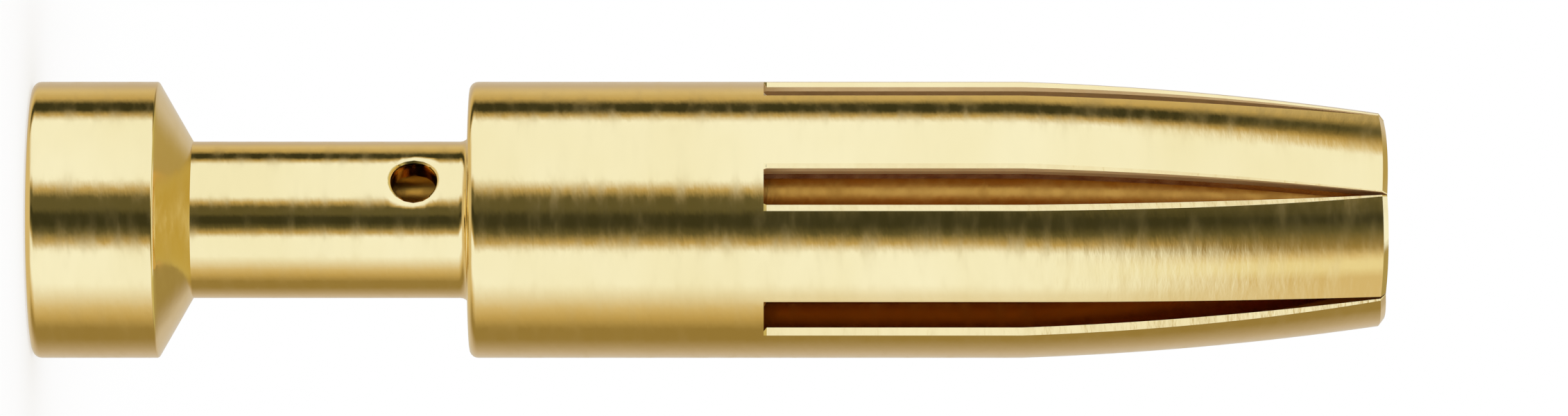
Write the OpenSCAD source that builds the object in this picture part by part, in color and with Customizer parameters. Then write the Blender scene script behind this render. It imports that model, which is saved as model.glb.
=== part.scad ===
// Round socket contact with a crimp barrel, turned in one piece and slotted.
// It stands on its wire-entry face, and +Z runs from there to the tips of the tines.

/* [Overall] */
// Length from the wire-entry face to the tips of the tines
overall_l = 22; // [20:0.1:26]

/* [Collar] */
// Diameter of the collar round the wire entry
collar_d = 4.5; // [4:0.05:5.5]
// Length of the collar's cylinder
collar_l = 2.05; // [1.5:0.05:3]
// Length of the cone from the collar down to the crimp barrel
cone_l = 0.56; // [0.3:0.02:1]
// Chamfer on the collar's edge at the wire entry
collar_edge = 0.15; // [0.05:0.01:0.3]

/* [Crimp barrel] */
// Outside diameter of the crimp barrel
barrel_d = 2.55; // [2.3:0.05:3.2]
// Length of the crimp barrel between the cone and the body
barrel_l = 4.5; // [3.5:0.1:6]
// Diameter of the bore for the stripped wire
wire_bore_d = 1.75; // [1.1:0.05:2]
// Diameter of the funnel's mouth at the wire entry
funnel_d = 2.9; // [2.4:0.05:3.3]
// Included angle of the funnel
funnel_angle = 90; // [60:5:120]
// Diameter of the sight hole that shows the wire's end
sight_hole_d = 0.72; // [0.5:0.02:1]
// Distance from the sight hole's centre to the body's shoulder
sight_hole_back = 0.88; // [0.6:0.02:1.5]
// Length of the wire bore past the sight hole's centre
bore_past_hole = 0.8; // [0.5:0.05:1.2]

/* [Socket body] */
// Outside diameter of the socket body
body_d = 4.5; // [4.2:0.05:5]
// Chamfer on the body's edge at the shoulder
body_edge = 0.15; // [0.05:0.01:0.3]
// Depth of the socket bore past the ends of the slots
bore_past_slot = 0.3; // [0.1:0.05:0.6]

/* [Tines] */
// Number of tines, and of the slots between them
tine_count = 6; // [4:1:8]
// Length of the slots, from the tips
slot_l = 10.1; // [8:0.1:11]
// Width of the slots as sawn
slot_w = 0.57; // [0.4:0.01:0.7]
// Angle round the axis from the sight hole to the nearest slot
slot_angle = 17; // [0:1:60]
// Gap left between neighbouring tips once the tines are closed in
tip_gap = 0.02; // [0.01:0.01:0.1]
// Angle of the crease at which the tines start to close in
crease_angle = 2; // [1:0.25:4]
// Radius of the curve in which the tines close in from the crease
bend_r = 52; // [30:1:80]
// Chamfer on the tips' outer edge
tip_edge = 0.1; // [0.04:0.01:0.15]
// Chamfer on the tips' inner edge, which leads the pin in
tip_lead = 0.15; // [0.05:0.01:0.2]

/* [Mating pin] */
// Diameter of the pin that the tines grip
pin_d = 2.5; // [2.3:0.05:2.6]
// How far each closed tip stands inside the pin's surface
pin_grip = 0.05; // [0.02:0.01:0.1]
// Depth to which the land that touches the pin is reamed into the tips
land_depth = 0.1; // [0.05:0.01:0.15]

/* [Hidden] */
$fn = 96;

gold = [0.83, 0.68, 0.33];
drill_angle = 118; // included angle of the drills' points
overcut = 1; // how far a cut runs on past the surface that it opens
side_lap = 0.004; // how far the curved part of a tine laps over each side of its root

// Heights of the turned steps
barrel_z = collar_l + cone_l;
shoulder_z = barrel_z + barrel_l;
sight_hole_z = shoulder_z - sight_hole_back;
wire_bore_l = sight_hole_z + bore_past_hole;
slot_z = overall_l - slot_l;
socket_bore_z = slot_z - bore_past_slot;

// How far the tips travel towards the axis before the slots all but shut
tine_step = 360 / tine_count;
curve_slot_w = slot_w - 2 * side_lap;
tip_travel = (curve_slot_w - tip_gap) / (2 * sin(tine_step / 2));

// The closed tips grip the pin, and the bore is as much wider as they travel
land_r = pin_d / 2 - pin_grip;
socket_bore_r = land_r - land_depth + tip_travel;
body_r = body_d / 2;
tine_mid_r = (body_r + socket_bore_r) / 2;

// Each tine curves in about an axis that lies across it, far on the other side of the contact
closing_angle = acos(cos(crease_angle) - tip_travel / bend_r);
bend_axis_r = tine_mid_r - bend_r * cos(crease_angle);
bend_axis_z = overall_l - (bend_r + body_r - tip_edge - tine_mid_r) * sin(closing_angle);
crease_z = bend_axis_z + bend_r * sin(crease_angle);

// Height of a cone that narrows from a radius to a point
function cone_h(r, included_angle) = r / tan(included_angle / 2);

// Outside of the turned blank, up to the crease in the tines
module turned_blank() {
    rotate_extrude()
        polygon([
            [0, 0],
            [collar_d / 2 - collar_edge, 0],
            [collar_d / 2, collar_edge],
            [collar_d / 2, collar_l],
            [barrel_d / 2, barrel_z],
            [barrel_d / 2, shoulder_z],
            [body_r - body_edge, shoulder_z],
            [body_r, shoulder_z + body_edge],
            [body_r, crease_z],
            [0, crease_z]
        ]);
}

// Blind bore from the wire entry, with its funnel and the drill's point
module wire_bore() {
    translate([0, 0, -overcut])
        cylinder(d = wire_bore_d, h = wire_bore_l + overcut);
    translate([0, 0, wire_bore_l])
        cylinder(r1 = wire_bore_d / 2, r2 = 0, h = cone_h(wire_bore_d / 2, drill_angle));
    cylinder(r1 = funnel_d / 2, r2 = 0, h = cone_h(funnel_d / 2, funnel_angle));
}

// Hole through one wall of the crimp barrel, on the -Y side
module sight_hole() {
    translate([0, 0, sight_hole_z])
        rotate([90, 0, 0])
            cylinder(d = sight_hole_d, h = barrel_d);
}

// Blind bore that the pin enters, with the drill's point
module socket_bore() {
    translate([0, 0, socket_bore_z])
        cylinder(r = socket_bore_r, h = overall_l - socket_bore_z);
    translate([0, 0, socket_bore_z])
        mirror([0, 0, 1])
            cylinder(r1 = socket_bore_r, r2 = 0, h = cone_h(socket_bore_r, drill_angle));
}

// Puts a copy of its children at each slot, or at each tine half a step on
module round_the_axis(steps_on = 0) {
    for (i = [0 : tine_count - 1])
        rotate(slot_angle - 90 + (i + steps_on) * tine_step)
            children();
}

// One slot as it is sawn, with parallel sides
module slot() {
    translate([0, -slot_w / 2, slot_z])
        cube([body_d, slot_w, slot_l]);
}

// Section of one tine: a piece of the tube's ring between two slots
module tine_section() {
    apex = curve_slot_w / (2 * sin(tine_step / 2));
    reach = body_d;
    intersection() {
        difference() {
            circle(r = body_r);
            circle(r = socket_bore_r);
        }
        polygon([
            [apex, 0],
            [apex + reach * cos(tine_step / 2), -reach * sin(tine_step / 2)],
            [apex + reach * cos(tine_step / 2), reach * sin(tine_step / 2)]
        ]);
    }
}

// Curved part of a tine, which starts inside the straight root and leans in from the crease
module tine_curve() {
    seat_angle = crease_angle / 2;
    translate([bend_axis_r, 0, bend_axis_z])
        rotate([90, 0, 0])
            rotate_extrude(angle = closing_angle - seat_angle, start = seat_angle)
                translate([bend_r - tine_mid_r, 0])
                    tine_section();
}

// Cuts for the chamfers on a tip's outer and inner edge, in the tip's own leaning frame
module tip_chamfers() {
    translate([bend_axis_r, 0, bend_axis_z])
        rotate([0, -closing_angle, 0])
            translate([bend_r - tine_mid_r, 0, 0])
                rotate_extrude() {
                    polygon([
                        [body_r - tip_edge - overcut, overcut],
                        [body_r + overcut, -tip_edge - overcut],
                        [body_r + overcut, overcut]
                    ]);
                    polygon([
                        [socket_bore_r + tip_lead + overcut, overcut],
                        [socket_bore_r - overcut, -tip_lead - overcut],
                        [socket_bore_r - overcut, overcut]
                    ]);
                }
}

// The closed-in part of all the tines, trimmed to the body's cylinder and reamed for the pin
module closed_tines() {
    difference() {
        intersection() {
            round_the_axis(steps_on = 0.5)
                difference() {
                    tine_curve();
                    tip_chamfers();
                }
            cylinder(r = body_r, h = overall_l + overcut);
        }
        translate([0, 0, crease_z])
            cylinder(r = land_r, h = overall_l - crease_z + overcut);
    }
}

module socket_contact() {
    color(gold) {
        difference() {
            turned_blank();
            wire_bore();
            sight_hole();
            socket_bore();
            round_the_axis() slot();
        }
        closed_tines();
    }
}

socket_contact();
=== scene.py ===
from math import acos, asin, atan2, cos, hypot, pi, radians, sin, sqrt, tan

import bmesh
import bpy
from mathutils import Matrix, Vector


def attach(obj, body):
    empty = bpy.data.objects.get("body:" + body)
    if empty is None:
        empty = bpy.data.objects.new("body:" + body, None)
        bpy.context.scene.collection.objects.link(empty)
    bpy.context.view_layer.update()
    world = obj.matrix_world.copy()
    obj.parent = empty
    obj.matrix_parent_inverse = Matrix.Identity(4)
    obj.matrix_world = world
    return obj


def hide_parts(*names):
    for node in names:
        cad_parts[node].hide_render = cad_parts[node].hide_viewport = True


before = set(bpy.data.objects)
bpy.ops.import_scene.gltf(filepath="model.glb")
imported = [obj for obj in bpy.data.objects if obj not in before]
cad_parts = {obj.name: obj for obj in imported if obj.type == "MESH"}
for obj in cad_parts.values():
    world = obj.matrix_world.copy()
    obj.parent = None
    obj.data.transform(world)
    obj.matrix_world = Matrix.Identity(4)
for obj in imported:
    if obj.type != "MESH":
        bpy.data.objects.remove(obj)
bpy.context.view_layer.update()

MM = 0.001
MICRON = 0.000001

# Sizes of the contact in millimetres, the same as in the CAD model
COLLAR_R, COLLAR_L, CONE_L = 2.25, 2.05, 0.56
BARREL_R, BARREL_L = 1.275, 4.5
WIRE_BORE_R, FUNNEL_R = 0.875, 1.45
SIGHT_HOLE_R, SIGHT_HOLE_BACK, BORE_PAST_HOLE = 0.36, 0.88, 0.8
BODY_R, SOCKET_BORE_R, BORE_PAST_SLOT = 2.25, 1.642, 0.3
OVERALL_L, SLOT_L, SLOT_W = 22.0, 10.1, 0.57
SLOT_COUNT = 6
# The sight hole faces -Y. The slots are counted from the +Y side, to keep the rings' ends off the hole
SLOT_ANGLE = radians(90 + 17)
CREASE, BEND_R, TIP_TRAVEL, TIP_EDGE = radians(2), 52.0, 0.542, 0.1
LAND_R = 1.2
DRILL_SLOPE = tan(radians(59))

# Roundings of the turned edges and corners, and of the sight hole's edge
EDGE_R, SMALL_EDGE_R, CORNER_R, HOLE_EDGE = 0.14, 0.05, 0.15, 0.09
# Brushing off the saw's burr leaves one facet on a tine's first edge, and two on its last edge,
# of which the inner one is steeper
FIRST_FACET_W, FIRST_FACET_D = 0.12, 0.084
LAST_FACET_W, LAST_FACET_D = 0.07, 0.078
INNER_FACET_W, INNER_FACET_D = 0.035, 0.06
# The facets start a little past the slot's root and shrink to this share of their size at the tip.
# The first edge's facet keeps its size longer, by this power
FACET_START, TIP_SHARE, FIRST_FADE = 0.05, 0.2, 3
# Angle in degrees through which the collar's rounded edge turns, onto the cone
CONE_TURN = 60

BARREL_Z = COLLAR_L + CONE_L
SHOULDER_Z = BARREL_Z + BARREL_L
SIGHT_HOLE_Z = SHOULDER_Z - SIGHT_HOLE_BACK
WIRE_BORE_L = SIGHT_HOLE_Z + BORE_PAST_HOLE
SLOT_Z = OVERALL_L - SLOT_L
SOCKET_BORE_Z = SLOT_Z - BORE_PAST_SLOT
TINE_MID_R = (BODY_R + SOCKET_BORE_R) / 2
CLOSING = acos(cos(CREASE) - TIP_TRAVEL / BEND_R)
BEND_AXIS_R = TINE_MID_R - BEND_R * cos(CREASE)
BEND_AXIS_Z = OVERALL_L - (BEND_R + BODY_R - TIP_EDGE - TINE_MID_R) * sin(CLOSING)
CREASE_Z = BEND_AXIS_Z + BEND_R * sin(CREASE)

# Columns of faces across one slot, one tine and a tine's wall, and levels of faces along the contact
SLOT_COLUMNS, TINE_COLUMNS, WALL_COLUMNS = 4, 14, 4
BODY_LEVELS, STRAIGHT_LEVELS, CURVE_LEVELS = 8, 8, 20
ARC_STEPS, SMALL_ARC_STEPS = 5, 3
STEP = 2 * pi / SLOT_COUNT
# Heights of the rings at the sight hole in hole radii, how far round its cylinder the block of faces reaches
# that makes room for it, as a share of the cylinder's radius, and the steps from the block's rim to the hole
HOLE_RINGS = (-1.7, -0.85, 0, 0.85, 1.7)
HOLE_REACH = 0.62
HOLE_STEPS = (0.3, 0.6, 1)
# An edge whose faces turn by more than this is sharp, and a vertex this close to a cylinder lies on it
SHARP_TURN, TOLERANCE = radians(35), 0.0001

# Material slots of the turned outside, the wire bore, the inside of the socket, the facets along the slots,
# and the inner facet with the strip of the slot's wall below it. The wire bore, the inside of the socket and
# the inner facet with its strip are tinted darker and more orange than the plating: painted shade of the
# recesses, lightest on the strip and darkest inside the socket, whose finish also covers the sight hole's
# wall and the slots' deeper walls
TURNED, SHADED_BORE, SHADED_INSIDE, BRUSHED, SAWN_AND_SHADED = 0, 1, 2, 3, 4


def column_angles(radius):
    """Angles of the mesh's columns, which meet the sides of the slots at this radius."""
    half = asin(SLOT_W / 2 / radius)
    first, last = FIRST_FACET_W / radius, (LAST_FACET_W + INNER_FACET_W) / radius
    column = (STEP - 2 * half - first - last) / (TINE_COLUMNS - 2)
    angles = []
    for slot in range(SLOT_COUNT):
        start = SLOT_ANGLE + slot * STEP - half
        angles += [start + 2 * half * i / SLOT_COLUMNS for i in range(SLOT_COLUMNS)]
        start += 2 * half
        angles += [start] + [start + first + column * i for i in range(TINE_COLUMNS - 1)]
    return angles


def arc(centre_r, centre_z, radius, start, end, count=ARC_STEPS):
    """Points of a rounding in the turned profile, with angles in degrees from the radial direction."""
    angles = [radians(start + (end - start) * i / count) for i in range(count + 1)]
    return [(centre_r + radius * cos(a), centre_z + radius * sin(a)) for a in angles]


def revolve(bm, profile, angles, finish, count):
    """Rings of vertices along a turned profile, joined by strips, the first few in another finish."""
    rings = [[bm.verts.new((r * cos(a), r * sin(a), z)) for a in angles] for r, z in profile]
    for strip, (low, high) in enumerate(zip(rings, rings[1:])):
        bridge(bm, low, high, [finish if strip < count else TURNED] * len(low))
    return rings


def bridge(bm, low, high, finishes):
    """Faces between two closed loops with as many vertices, each face with its own finish."""
    for i, finish in enumerate(finishes):
        j = (i + 1) % len(low)
        bm.faces.new((low[i], low[j], high[j], high[i])).material_index = finish


def fan(bm, loop, point, finish):
    """Faces from a closed loop to one new vertex."""
    tip = bm.verts.new(point)
    for i in range(len(loop)):
        bm.faces.new((loop[i], loop[(i + 1) % len(loop)], tip)).material_index = finish


def open_hole(bm, rings, radius, finish):
    """Cuts the sight hole into rings of a cylinder, and returns the loop round the hole's edge."""
    columns = [i for i, v in enumerate(rings[0]) if v.co.y < 0 and abs(v.co.x) < HOLE_REACH * radius]
    first, last = columns[0], columns[-1]
    block = [ring[first:last + 1] for ring in rings]
    rim = block[0] + [row[-1] for row in block[1:-1]] + block[-1][::-1] + [row[0] for row in block[-2:0:-1]]
    inside = [v for row in block[1:-1] for v in row[1:-1]]
    bmesh.ops.delete(bm, geom=inside, context="VERTS")
    loop = rim
    for share in HOLE_STEPS:
        points = []
        for v in rim:
            angle = atan2(v.co.z - SIGHT_HOLE_Z, v.co.x)
            x = v.co.x + (SIGHT_HOLE_R * cos(angle) - v.co.x) * share
            z = v.co.z + (SIGHT_HOLE_Z + SIGHT_HOLE_R * sin(angle) - v.co.z) * share
            points.append(bm.verts.new((x, -sqrt(radius ** 2 - x ** 2), z)))
        bridge(bm, loop, points, [finish] * len(loop))
        loop = points
    return loop


def build_turned_part(bm):
    """All that lies below the slots' roots.

    Returns the last outer ring, the socket bore's last ring and the loop round the sight hole's edge.
    """
    hole_heights = [SIGHT_HOLE_Z + SIGHT_HOLE_R * k for k in HOLE_RINGS]
    drill_point = [
        (WIRE_BORE_R / 2, WIRE_BORE_L + WIRE_BORE_R / 2 / DRILL_SLOPE),
        (WIRE_BORE_R, WIRE_BORE_L),
    ]
    bore = [(WIRE_BORE_R, z) for z in reversed(hole_heights)]
    funnel = [(WIRE_BORE_R, FUNNEL_R - WIRE_BORE_R), (FUNNEL_R, 0)]
    collar = arc(COLLAR_R - EDGE_R, EDGE_R, EDGE_R, -90, 0)
    edge_z = COLLAR_L - SMALL_EDGE_R * tan(radians(CONE_TURN / 2))
    collar += arc(COLLAR_R - SMALL_EDGE_R, edge_z, SMALL_EDGE_R, 0, CONE_TURN, SMALL_ARC_STEPS)
    cone_slope = CONE_L / (COLLAR_R - BARREL_R)
    cone = [(r, COLLAR_L + (COLLAR_R - r) * cone_slope) for r in (COLLAR_R - 2 * SMALL_EDGE_R, BARREL_R)]
    barrel = [(BARREL_R, z) for z in hole_heights]
    corner = arc(BARREL_R + CORNER_R, SHOULDER_Z - CORNER_R, CORNER_R, 180, 90)
    body = arc(BODY_R - EDGE_R, SHOULDER_Z + EDGE_R, EDGE_R, -90, 0)
    level = (SLOT_Z - SHOULDER_Z) / BODY_LEVELS
    body += [(BODY_R, SHOULDER_Z + level * (i + 1)) for i in range(BODY_LEVELS)]
    lower = drill_point + bore + funnel + collar + cone
    bored = len(drill_point) + len(bore)
    rings = revolve(bm, lower + barrel + corner + body, column_angles(BODY_R), SHADED_BORE, bored)
    fan(bm, rings[0], (0, 0, WIRE_BORE_L + WIRE_BORE_R / DRILL_SLOPE), SHADED_BORE)

    depth = SOCKET_BORE_R / DRILL_SLOPE
    socket = [
        (SOCKET_BORE_R / 2, SOCKET_BORE_Z - depth / 2),
        (SOCKET_BORE_R, SOCKET_BORE_Z),
        (SOCKET_BORE_R, SLOT_Z),
    ]
    inner = revolve(bm, socket, column_angles(SOCKET_BORE_R), SHADED_INSIDE, len(socket))
    fan(bm, inner[0], (0, 0, SOCKET_BORE_Z - depth), SHADED_INSIDE)

    bore_rings = rings[len(drill_point):bored][::-1]
    barrel_rings = rings[len(lower):len(lower) + len(barrel)]
    inside = open_hole(bm, bore_rings, WIRE_BORE_R, SHADED_BORE)
    outside = open_hole(bm, barrel_rings, BARREL_R, TURNED)
    # The sight hole's wall takes the socket's inside finish, darkened as painted shade
    middle = [bm.verts.new(a.co.lerp(b.co, 0.5)) for a, b in zip(outside, inside)]
    bridge(bm, outside, middle, [SHADED_INSIDE] * len(middle))
    bridge(bm, middle, inside, [SHADED_INSIDE] * len(middle))
    return rings[-1], inner[-1], outside


def tine_level(section, angle, height, along):
    """Places of a tine's section at a height, or at an angle along the curve where there is no height."""
    places = []
    for x, y in section:
        reach = BEND_R - TINE_MID_R + x
        r = x if along is None else BEND_AXIS_R + reach * cos(along)
        z = height if along is None else BEND_AXIS_Z + reach * sin(along)
        place = Matrix.Rotation(angle, 3, "Z") @ Vector((r, y, z))
        axial = hypot(place.x, place.y)
        if along is not None and axial < LAND_R:
            place = Vector((place.x * LAND_R / axial, place.y * LAND_R / axial, z))
        places.append(place)
    return places


def faceted(section, closed):
    """A tine's section with facets on its outer edges, where a slot has closed by a share of its width."""
    points = [point.copy() for point in section]
    first_share = 1 - closed ** FIRST_FADE * (1 - TIP_SHARE)
    last_share = 1 - closed * (1 - TIP_SHARE)
    first_wall = (section[-1] - section[0]).normalized()
    last_wall = (section[TINE_COLUMNS + 1] - section[TINE_COLUMNS]).normalized()
    last_w = LAST_FACET_W + INNER_FACET_W
    last_d = LAST_FACET_D + INNER_FACET_D
    points[0] += first_wall * FIRST_FACET_D * first_share
    points[1].rotate(Matrix.Rotation((first_share - 1) * FIRST_FACET_W / BODY_R, 2))
    points[TINE_COLUMNS - 1].rotate(Matrix.Rotation((1 - last_share) * last_w / BODY_R, 2))
    points[TINE_COLUMNS] += (last_wall * LAST_FACET_D + last_wall.orthogonal() * INNER_FACET_W) * last_share
    points[TINE_COLUMNS + 1] = section[TINE_COLUMNS] + last_wall * last_d * last_share
    return points


def chamfered(section):
    """A tine's section at the tip, with its outer edge drawn in and its inner edge drawn out."""
    points = []
    for x, y in section:
        radius = hypot(x, y)
        share = min(max(radius, SOCKET_BORE_R + TIP_EDGE), BODY_R - TIP_EDGE) / radius
        points.append((x * share, y * share))
    return points


def build_tines(bm, outer, inner):
    """The slots' roots and the tines on the last rings of the turned part."""
    columns = SLOT_COLUMNS + TINE_COLUMNS
    count = len(outer)
    walls = []
    for slot in range(SLOT_COUNT):
        picked = [(slot * columns + i) % count for i in range(SLOT_COLUMNS + 1)]
        rows = [[outer[i] for i in picked]]
        last = [inner[i] for i in picked]
        for w in range(1, WALL_COLUMNS):
            rows.append([bm.verts.new(a.co.lerp(b.co, w / WALL_COLUMNS)) for a, b in zip(rows[0], last)])
        rows.append(last)
        for a, b in zip(rows, rows[1:]):
            for i in range(SLOT_COLUMNS):
                bm.faces.new((a[i], a[i + 1], b[i + 1], b[i])).material_index = SHADED_INSIDE
        walls.append(([row[0] for row in rows], [row[-1] for row in rows]))

    straight = [SLOT_Z + FACET_START]
    straight += [SLOT_Z + (CREASE_Z - SLOT_Z) * i / STRAIGHT_LEVELS for i in range(1, STRAIGHT_LEVELS)]
    curve_end = CLOSING - TIP_EDGE / BEND_R
    curved = [CREASE + (curve_end - CREASE) * i / CURVE_LEVELS for i in range(CURVE_LEVELS + 1)]
    # The inner facet with the wall's strip below it, then the rest of the wall and the tine's inside, take
    # finishes darkened as painted shade
    finishes = [BRUSHED] + [TURNED] * (TINE_COLUMNS - 2) + [BRUSHED] + [SAWN_AND_SHADED] * 2
    finishes += [SHADED_INSIDE] * (TINE_COLUMNS + 2 * WALL_COLUMNS - 2)
    for tine in range(SLOT_COUNT):
        picked = [(tine * columns + SLOT_COLUMNS + i) % count for i in range(TINE_COLUMNS + 1)]
        loop = [outer[i] for i in picked] + walls[(tine + 1) % SLOT_COUNT][0][1:-1]
        loop += [inner[i] for i in reversed(picked)] + walls[tine][1][-2:0:-1]
        angle = SLOT_ANGLE + (tine + 0.5) * STEP
        back = Matrix.Rotation(-angle, 3, "Z")
        section = [(back @ v.co).xy for v in loop]
        levels = [tine_level(faceted(section, 0), angle, height, None) for height in straight]
        for along in curved:
            closed = (along - CREASE) / (CLOSING - CREASE)
            levels.append(tine_level(faceted(section, closed), angle, None, along))
        levels.append(tine_level(chamfered(faceted(section, 1)), angle, None, CLOSING))
        sharp = [(loop[0], loop[1]), (loop[TINE_COLUMNS - 1], loop[TINE_COLUMNS])]
        for places in levels:
            level = [bm.verts.new(place) for place in places]
            bridge(bm, loop, level, finishes)
            sharp += [(loop[i], level[i]) for i in (1, TINE_COLUMNS - 1, TINE_COLUMNS, TINE_COLUMNS + 1)]
            loop = level
        cap_tine(bm, loop)
        for pair in sharp:
            bm.edges.get(pair).smooth = False


def cap_tine(bm, loop):
    """Closes a tine's tip with a grid of faces between its outer and inner edges."""
    outer = loop[:TINE_COLUMNS + 1]
    far_side = loop[TINE_COLUMNS + 1:TINE_COLUMNS + WALL_COLUMNS]
    inner = loop[TINE_COLUMNS + WALL_COLUMNS:2 * TINE_COLUMNS + WALL_COLUMNS + 1][::-1]
    near_side = loop[2 * TINE_COLUMNS + WALL_COLUMNS + 1:][::-1]
    rows = [outer]
    for w in range(1, WALL_COLUMNS):
        row = [bm.verts.new(a.co.lerp(b.co, w / WALL_COLUMNS)) for a, b in zip(outer[1:-1], inner[1:-1])]
        rows.append([near_side[w - 1]] + row + [far_side[w - 1]])
    rows.append(inner)
    for a, b in zip(rows, rows[1:]):
        for i in range(TINE_COLUMNS):
            bm.faces.new((a[i], a[i + 1], b[i + 1], b[i]))


def build_contact():
    """The contact as one closed mesh with deburred edges, in place of the CAD model's coarser one."""
    bm = bmesh.new()
    outer, inner, hole = build_turned_part(bm)
    build_tines(bm, outer, inner)
    bmesh.ops.recalc_face_normals(bm, faces=bm.faces)
    hole_edges = [bm.edges.get((hole[i - 1], hole[i])) for i in range(len(hole))]
    bmesh.ops.bevel(bm, geom=hole_edges, offset=HOLE_EDGE, offset_type="OFFSET", segments=3, profile=0.5,
                    affect="EDGES", clamp_overlap=False)
    for edge in bm.edges:
        if edge.calc_face_angle(0) > SHARP_TURN:
            edge.smooth = False
    for face in bm.faces:
        face.smooth = True
    exact = [cylinder_normal(v) for v in bm.verts]
    bmesh.ops.scale(bm, vec=(MM, MM, MM), verts=bm.verts)
    mesh = bpy.data.meshes.new("contact")
    bm.to_mesh(mesh)
    bm.free()
    smoothed = [corner.vector.copy() for corner in mesh.corner_normals]
    mesh.normals_split_custom_set([exact[loop.vertex_index] or n for loop, n in zip(mesh.loops, smoothed)])
    contact = bpy.data.objects.new("contact", mesh)
    bpy.context.scene.collection.objects.link(contact)
    return contact


def cylinder_normal(vertex):
    """The exact normal of a vertex on a turned cylinder, or None where the mesh works it out."""
    radius = hypot(vertex.co.x, vertex.co.y)
    off_cylinder = min(abs(radius - r) for r in (COLLAR_R, BARREL_R, BODY_R))
    on_cylinder = off_cylinder < TOLERANCE and vertex.co.z < CREASE_Z
    if on_cylinder and all(edge.smooth for edge in vertex.link_edges):
        return Vector((vertex.co.x, vertex.co.y, 0)) / radius
    return None


# Scales of the noise for fine tool marks, bands of them and stains, per metre across the axis and along it
MARK_SCALE, BAND_SCALE, STAIN_SCALE = (2000, 6000), (1500, 4500), (300, 400)
NOISE_DETAIL = 3
# Range of the bands' noise over which the roughness changes, and of the stains' noise for the tint
ROUGH_RANGE, TINT_RANGE = (0.4, 0.7), (0.35, 0.65)


def gold_material(name, low, high, smoothest, roughest, marks):
    """Gold plating between two tints and two roughnesses, over tool marks of a depth in micrometres."""
    material = bpy.data.materials.new(name)
    material.use_nodes = True
    nodes, links = material.node_tree.nodes, material.node_tree.links
    shader = nodes["Principled BSDF"]
    shader.inputs["Metallic"].default_value = 1
    place = nodes.new("ShaderNodeTexCoord")

    def streaks(across, along):
        mapping = nodes.new("ShaderNodeMapping")
        mapping.inputs["Scale"].default_value = (across, across, along)
        noise = nodes.new("ShaderNodeTexNoise")
        noise.inputs["Scale"].default_value = 1
        noise.inputs["Detail"].default_value = NOISE_DETAIL
        links.new(place.outputs["Object"], mapping.inputs["Vector"])
        links.new(mapping.outputs["Vector"], noise.inputs["Vector"])
        return noise

    fine = streaks(*MARK_SCALE)
    bands = streaks(*BAND_SCALE)
    stains = streaks(*STAIN_SCALE)
    bump = nodes.new("ShaderNodeBump")
    bump.inputs["Strength"].default_value = 1
    bump.inputs["Distance"].default_value = marks * MICRON
    links.new(fine.outputs["Fac"], bump.inputs["Height"])
    links.new(bump.outputs["Normal"], shader.inputs["Normal"])

    roughness = nodes.new("ShaderNodeMapRange")
    roughness.inputs["From Min"].default_value = ROUGH_RANGE[0]
    roughness.inputs["From Max"].default_value = ROUGH_RANGE[1]
    roughness.inputs["To Min"].default_value = smoothest
    roughness.inputs["To Max"].default_value = roughest
    links.new(bands.outputs["Fac"], roughness.inputs["Value"])
    links.new(roughness.outputs["Result"], shader.inputs["Roughness"])

    tint = nodes.new("ShaderNodeValToRGB")
    tint.color_ramp.elements[0].position = TINT_RANGE[0]
    tint.color_ramp.elements[0].color = (*low, 1)
    tint.color_ramp.elements[1].position = TINT_RANGE[1]
    tint.color_ramp.elements[1].color = (*high, 1)
    links.new(stains.outputs["Fac"], tint.inputs["Fac"])
    links.new(tint.outputs["Color"], shader.inputs["Base Color"])
    return material


# Light from around the contact, by angle in degrees up from the camera's direction in the photo's frame
WHITE = (1.0, 1.08, 1.22)
GREY = (0.68, 0.62, 0.54)
PALE = (0.58, 0.49, 0.41)
CREAM = (0.86, 0.80, 0.58)
TAN = (0.70, 0.57, 0.34)
WARM = (0.57, 0.43, 0.19)
STRAW = (0.60, 0.53, 0.24)
AMBER = (0.44, 0.33, 0.13)
BOARD = (0.33, 0.24, 0.085)
SHADE = (0.12, 0.105, 0.045)
DARK = (0.045, 0.042, 0.018)
LEVEL_LIGHT = [
    (180, GREY), (150, PALE), (134, TAN), (121, WARM), (113, DARK), (103, DARK), (97, WARM), (90, WHITE),
    (33, WHITE), (25, WARM), (18, SHADE), (8, SHADE), (3, DARK), (-5, DARK), (-12, SHADE), (-20, WARM),
    (-27, WHITE), (-56, WHITE), (-80, TAN), (-90, WARM), (-104, BOARD), (-120, BOARD), (-150, PALE),
    (-180, GREY),
]
RAISED_LIGHT = [
    (180, GREY), (157, PALE), (142, BOARD), (130, SHADE), (109, SHADE), (101, BOARD), (95, WARM),
    (90, TAN), (83, WHITE), (28, WHITE), (20, WARM), (13, SHADE), (2, DARK), (-2, DARK), (-11, SHADE),
    (-25, BOARD), (-32, TAN), (-38, CREAM), (-44, CREAM), (-53, TAN), (-71, TAN), (-97, BOARD),
    (-117, BOARD), (-140, PALE), (-180, GREY),
]
HIGH_LIGHT = [(180, AMBER), (120, STRAW), (-110, STRAW), (-150, BOARD), (-180, BOARD)]
# Degrees above the horizon at which each layer of light starts and is full
RAISED_RISE, HIGH_RISE, TOP_RISE, LOW_RISE = (6, 16), (25, 45), (63, 68), (-35, -60)
# How many degrees the pattern drops for each degree that it rises above the horizon
SLANT = 0.3
CAMERA_AZIMUTH = 31


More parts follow.
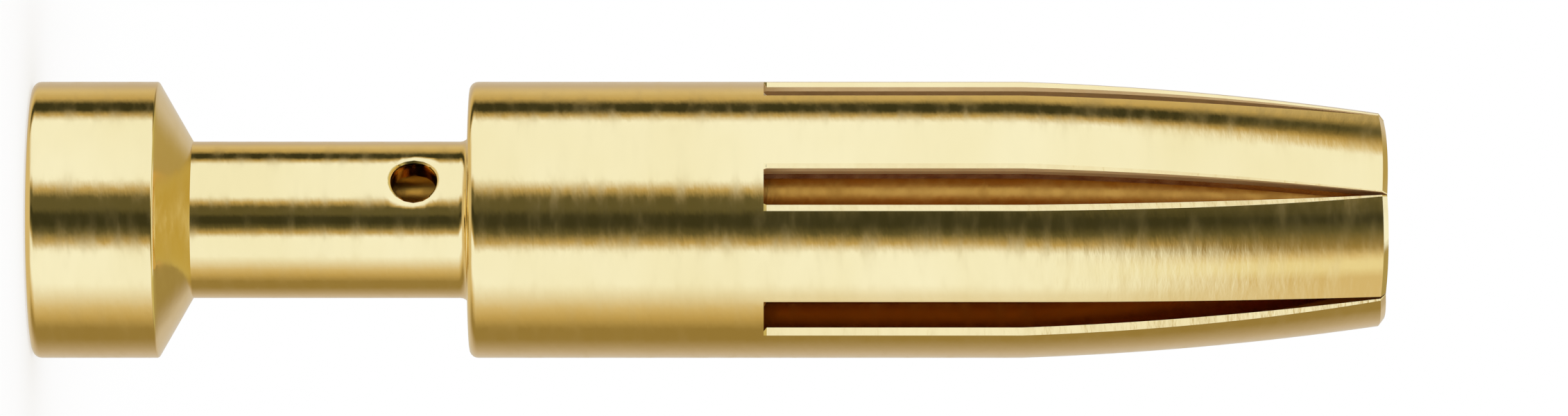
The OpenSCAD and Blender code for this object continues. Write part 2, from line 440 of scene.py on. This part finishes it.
def studio_world():
    """White for the camera and the floor. Polished metal sees soft white panels with dark gaps between."""
    world = bpy.data.worlds.new("studio")
    bpy.context.scene.world = world
    world.use_nodes = True
    nodes, links = world.node_tree.nodes, world.node_tree.links
    direction = nodes.new("ShaderNodeTexCoord")
    turned = nodes.new("ShaderNodeMapping")
    turned.inputs["Rotation"].default_value = (0, 0, radians(90 - CAMERA_AZIMUTH))
    around = nodes.new("ShaderNodeTexGradient")
    around.gradient_type = "RADIAL"
    links.new(direction.outputs["Generated"], turned.inputs["Vector"])
    links.new(turned.outputs["Vector"], around.inputs["Vector"])

    height = nodes.new("ShaderNodeSeparateXYZ")
    links.new(direction.outputs["Generated"], height.inputs["Vector"])
    slanted = nodes.new("ShaderNodeMath")
    slanted.operation = "MULTIPLY_ADD"
    slanted.inputs[1].default_value = -SLANT / (2 * pi)
    links.new(height.outputs["Z"], slanted.inputs[0])
    links.new(around.outputs["Fac"], slanted.inputs[2])

    def light(stops):
        ramp = nodes.new("ShaderNodeValToRGB")
        elements = ramp.color_ramp.elements
        while len(elements) < len(stops):
            elements.new(0)
        for element, (angle, colour) in zip(elements, stops):
            element.position = 0.5 - angle / 360
            element.color = (*colour, 1)
        links.new(slanted.outputs["Value"], ramp.inputs["Fac"])
        return ramp.outputs["Color"]

    def elevated(start, full):
        blend = nodes.new("ShaderNodeMapRange")
        blend.interpolation_type = "SMOOTHSTEP"
        blend.inputs["From Min"].default_value = sin(radians(start))
        blend.inputs["From Max"].default_value = sin(radians(full))
        links.new(height.outputs["Z"], blend.inputs["Value"])
        return blend.outputs["Result"]

    def mixed(share, first, second):
        mix = nodes.new("ShaderNodeMixRGB")
        links.new(share, mix.inputs["Fac"])
        links.new(first, mix.inputs["Color1"])
        if isinstance(second, tuple):
            mix.inputs["Color2"].default_value = second
        else:
            links.new(second, mix.inputs["Color2"])
        return mix.outputs["Color"]

    panels = mixed(elevated(*RAISED_RISE), light(LEVEL_LIGHT), light(RAISED_LIGHT))
    panels = mixed(elevated(*HIGH_RISE), panels, light(HIGH_LIGHT))
    panels = mixed(elevated(*TOP_RISE), panels, (*WHITE, 1))
    panels = mixed(elevated(*LOW_RISE), panels, (*TAN, 1))
    rays = nodes.new("ShaderNodeLightPath")
    background = nodes["Background"]
    plain = nodes.new("ShaderNodeMixRGB")
    plain.inputs["Color1"].default_value = (1, 1, 1, 1)
    links.new(rays.outputs["Is Glossy Ray"], plain.inputs["Fac"])
    links.new(panels, plain.inputs["Color2"])
    links.new(plain.outputs["Color"], background.inputs["Color"])


# The floor's size, how far it lies below the contact so that their faces don't meet, and its colour and glow
FLOOR_R, FLOOR_DROP, FLOOR_SIDES = 120 * MM, 20 * MICRON, 96
FLOOR_GREY, FLOOR_GLOW = 0.4, 0.6


def pale_floor():
    """A pale disc that keeps the contact's shadow and isn't seen in its reflections."""
    bpy.ops.mesh.primitive_circle_add(
        vertices=FLOOR_SIDES, radius=FLOOR_R, fill_type="NGON", location=(0, 0, -FLOOR_DROP)
    )
    floor = bpy.context.object
    floor.name = "floor"
    material = bpy.data.materials.new("floor")
    material.use_nodes = True
    shader = material.node_tree.nodes["Principled BSDF"]
    shader.inputs["Base Color"].default_value = (FLOOR_GREY, FLOOR_GREY, FLOOR_GREY, 1)
    shader.inputs["Roughness"].default_value = 1
    shader.inputs["Specular IOR Level"].default_value = 0
    shader.inputs["Emission Color"].default_value = (1, 1, 1, 1)
    shader.inputs["Emission Strength"].default_value = FLOOR_GLOW
    floor.data.materials.append(material)
    floor.visible_glossy = False


# The photo's frame, in pixels, and where the contact lies in it
FRAME_W = 2261
PIXEL = 0.0113 * MM
CENTRE_Z = 12.23 * MM
AXIS_BELOW_CENTRE = 17 * PIXEL
DISTANCE = 185 * MM
SENSOR_W = 36


def photo_camera():
    """A long lens level with the contact, rolled so that the contact lies along the frame."""
    azimuth = radians(CAMERA_AZIMUTH)
    back = Vector((sin(azimuth), -cos(azimuth), 0))
    right = Vector((0, 0, 1))
    up = back.cross(right)
    camera = bpy.data.cameras.new("camera")
    camera.sensor_width = SENSOR_W
    camera.lens = SENSOR_W * DISTANCE / (FRAME_W * PIXEL)
    camera.clip_start, camera.clip_end = 0.01, 10
    view = bpy.data.objects.new("camera", camera)
    view.matrix_world = Matrix((right, up, back)).transposed().to_4x4()
    view.location = back * DISTANCE + up * AXIS_BELOW_CENTRE + right * CENTRE_Z
    bpy.context.scene.collection.objects.link(view)
    bpy.context.scene.camera = view


contact = build_contact()
for finish in (
    gold_material("gold_plate", (0.90, 0.74, 0.38), (0.94, 0.79, 0.44), 0.07, 0.22, 3.5),
    # Darker, more orange gold for the wire bore: painted shade of the recess
    gold_material("gold_in_bore_painted_shade", (0.82, 0.58, 0.22), (0.88, 0.66, 0.28), 0.16, 0.24, 2),
    # Much darker gold for the inside of the socket and the slots: painted shade
    gold_material("gold_inside_painted_shade", (0.50, 0.26, 0.05), (0.58, 0.32, 0.07), 0.15, 0.22, 3),
    gold_material("gold_on_edges", (0.90, 0.72, 0.36), (0.94, 0.78, 0.42), 0.15, 0.25, 12),
    # Sawn, so rougher; its darker, more orange tint is painted shade on the slot's wall
    gold_material("gold_sawn_and_shaded", (0.86, 0.62, 0.32), (0.92, 0.68, 0.38), 0.60, 0.70, 3),
):
    contact.data.materials.append(finish)
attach(contact, "root")
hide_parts("socket_contact")
studio_world()
pale_floor()
photo_camera()
bpy.context.scene.view_settings.view_transform = "Standard"
